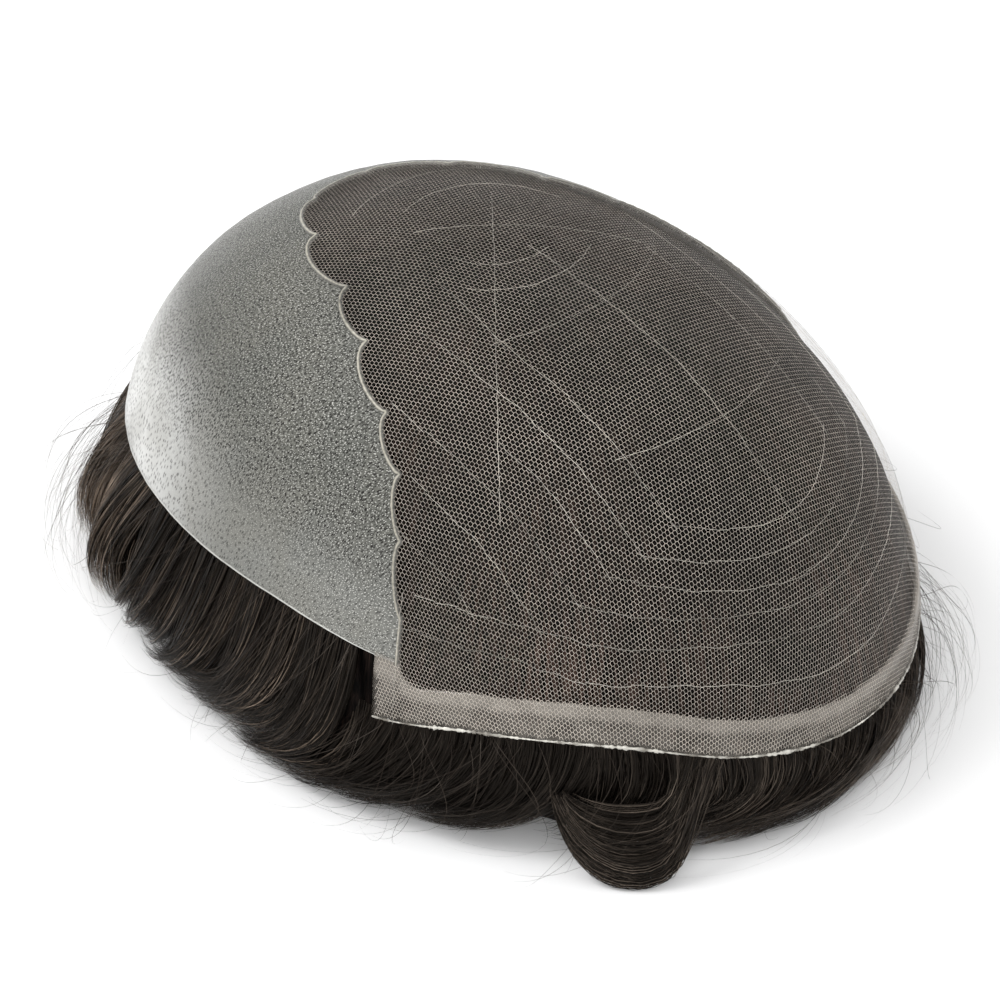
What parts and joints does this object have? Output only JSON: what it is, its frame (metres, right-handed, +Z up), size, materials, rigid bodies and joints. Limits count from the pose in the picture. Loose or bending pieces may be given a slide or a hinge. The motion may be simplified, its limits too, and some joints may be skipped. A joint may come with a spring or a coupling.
{
  "type": "toupee hairpiece",
  "caption": "Toupee laid scalp side up: net crown, thin skin back and sides with a scalloped edge, folded hairline band, and wavy dark hair spilling out under the rim.",
  "frame": {"origin": "on the table, under the middle of the whole piece", "axes": "+Z up, away from the table, on the scalp side of the base; +Y towards the back of the head, so the front hairline faces -Y"},
  "size_m": [0.1772, 0.2218, 0.097],
  "materials": {
    "lace_top": "fine beige-grey hexagon net over dark hair, matt",
    "skin_back": "frosted translucent thin skin, soft sheen",
    "scallop_edging": "narrow raised beige bead of coating",
    "hairline_band": "folded lace with a milky coating, glossier along its lower edge",
    "hair_of_lace": "very dark brown wavy hair, soft sheen along the strands",
    "hair_of_skin": "very dark brown wavy hair, soft sheen along the strands"
  },
  "bodies": {
    "root": {"lace_top": "lace_top", "skin_back": "skin_back", "scallop_edging": "scallop_edging", "hairline_band": "hairline_band", "hair_of_lace": "hair_of_lace", "hair_of_skin": "hair_of_skin"}
  },
  "joints": []
}
